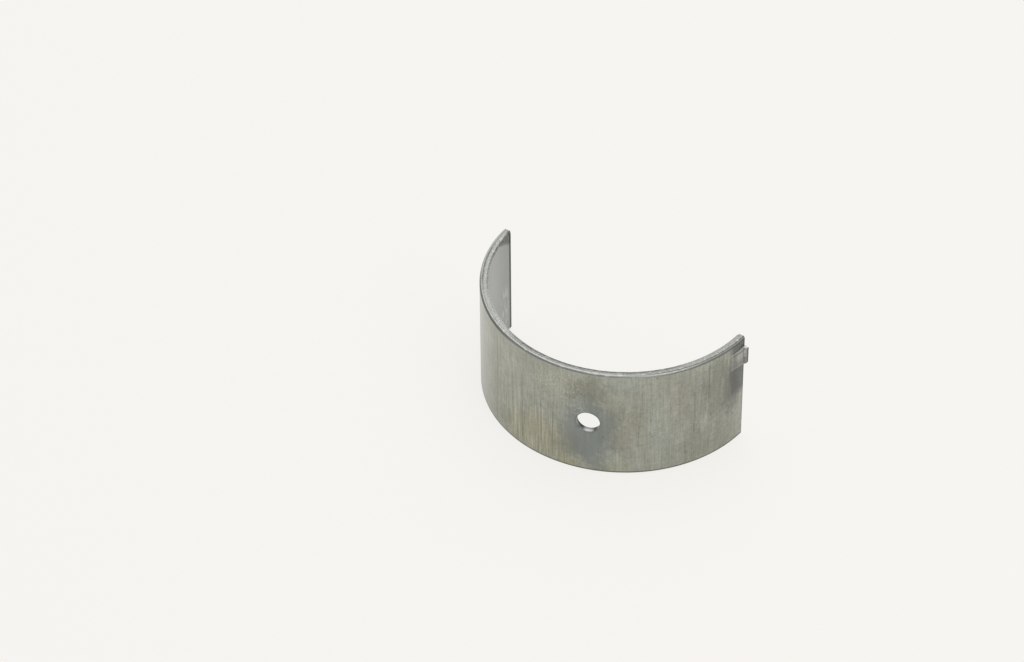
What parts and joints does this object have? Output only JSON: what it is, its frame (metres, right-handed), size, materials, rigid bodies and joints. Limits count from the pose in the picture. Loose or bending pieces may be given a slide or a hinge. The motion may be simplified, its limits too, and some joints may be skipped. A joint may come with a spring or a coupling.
{
  "type": "engine bearing shell",
  "caption": "Half-round steel-backed plain bearing shell with an oil hole, chamfered edges and a pressed locating lug at one end; lines half of a connecting rod's big-end bore.",
  "frame": {"origin": "on the bore axis at mid width", "axes": "+Z along the bore axis, up as the shell stands on a side face; -Y to the crown of the arc; +X to the end with the locating lug"},
  "size_m": [0.0661, 0.0317, 0.029],
  "materials": {
    "bearing_steel": "matte grey-olive steel back with fine streaks along the bore axis, smooth pale grey running face"
  },
  "bodies": {
    "root": {"bearing_shell": "bearing_steel"}
  },
  "joints": []
}
